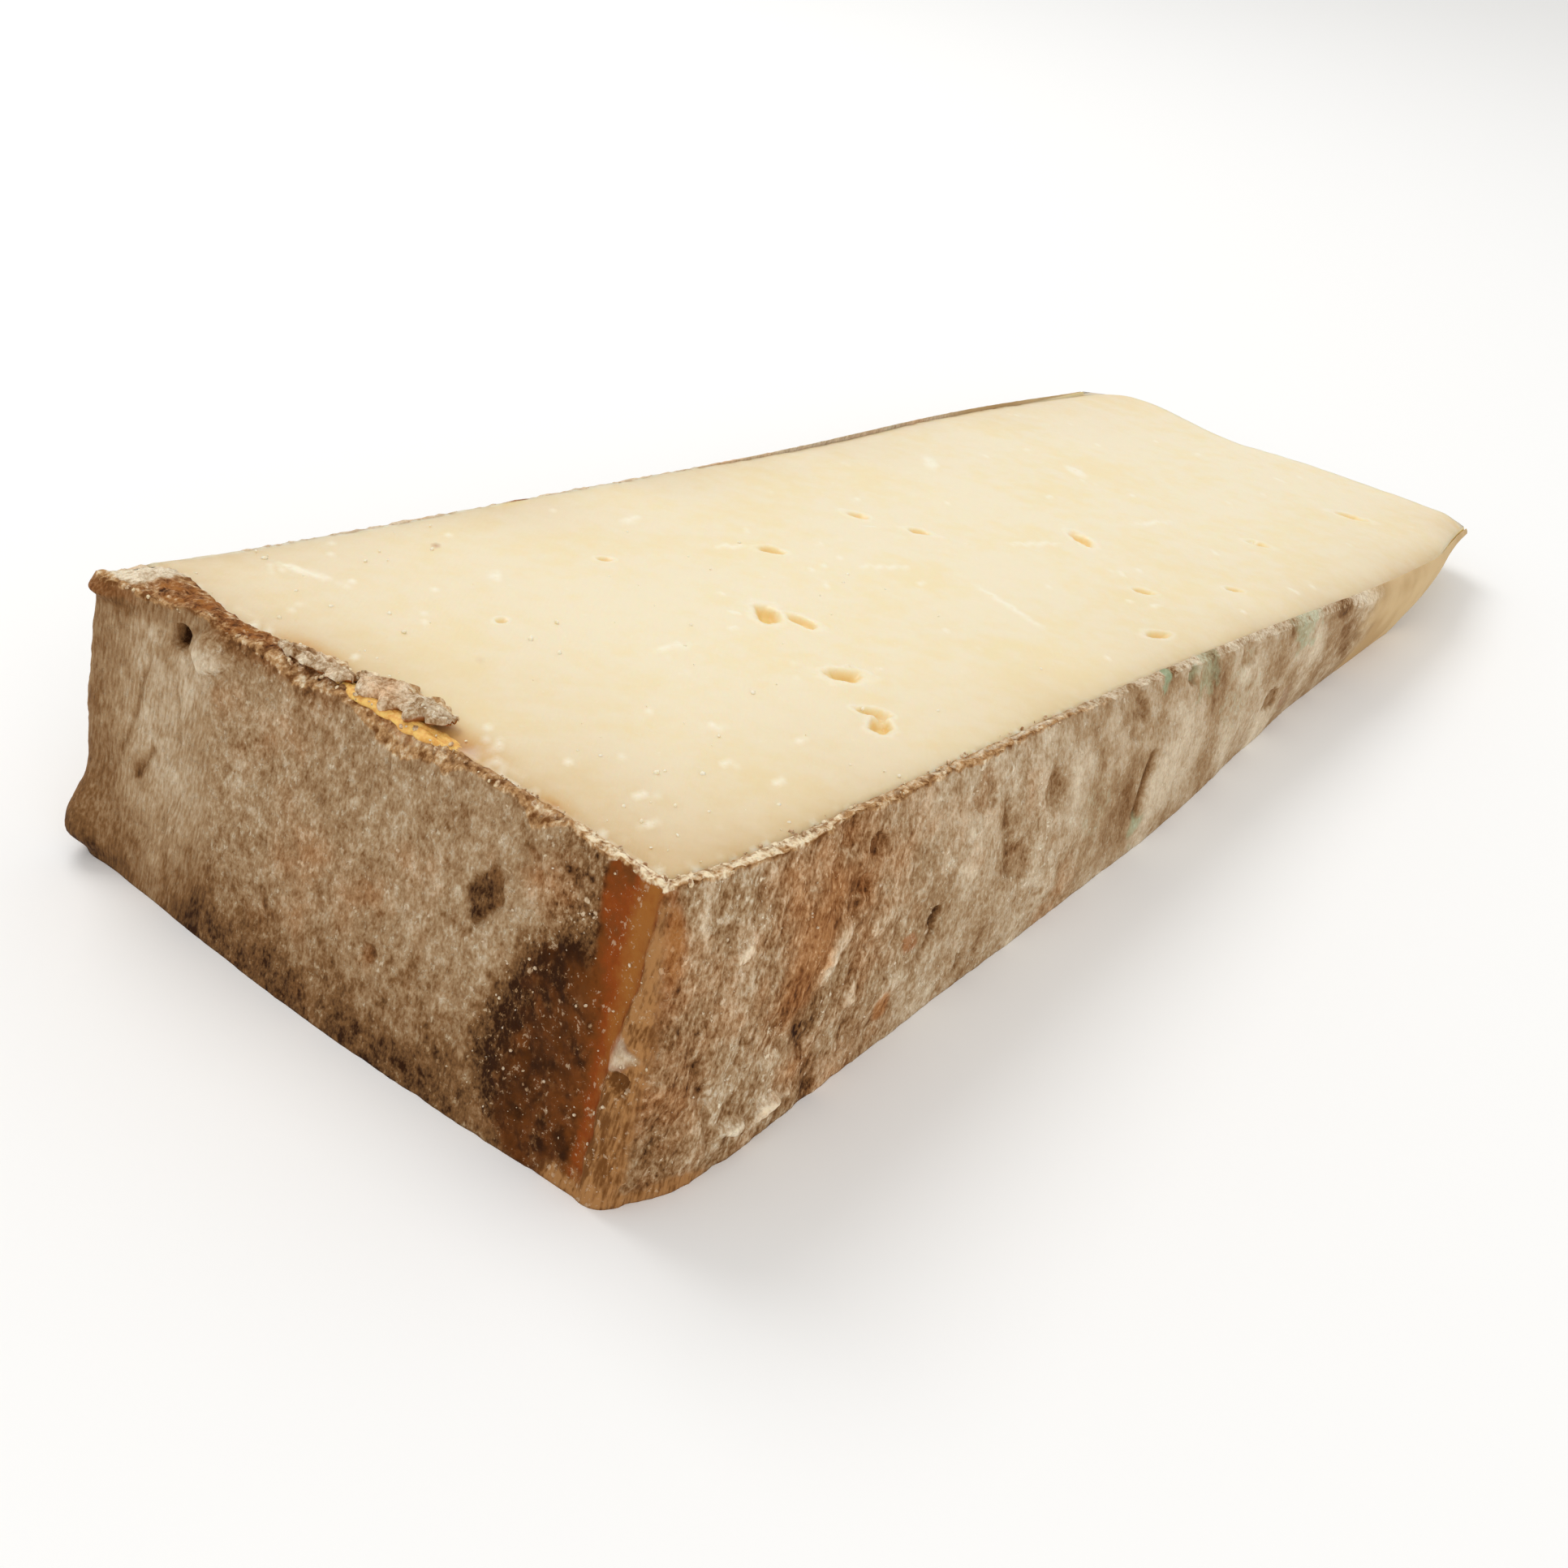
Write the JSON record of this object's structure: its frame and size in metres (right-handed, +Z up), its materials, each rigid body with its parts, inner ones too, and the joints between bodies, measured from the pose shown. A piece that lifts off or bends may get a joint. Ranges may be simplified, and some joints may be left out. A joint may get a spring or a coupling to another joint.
{
  "type": "cheese wedge",
  "caption": "Long flat wedge cut from a natural-rind cheese wheel, lying on a cut face, with pale paste, small eyes and mottled rind on its heel and both long sides.",
  "frame": {"origin": "centre of the bounding box's bottom, on the surface that the lower cut face rests on", "axes": "+X along the wedge from the rinded heel to the thin tip, +Y across the wheel's height from one rinded face to the other, +Z up from the resting cut face to the upper cut face"},
  "size_m": [0.205, 0.0774, 0.0296],
  "materials": {
    "paste": "pale cream cut cheese paste, semi-matt and slightly waxy",
    "rind": "dry natural rind, brown to orange under powdery grey-beige mould"
  },
  "bodies": {
    "root": {"cheese_wedge": "paste"}
  },
  "joints": []
}
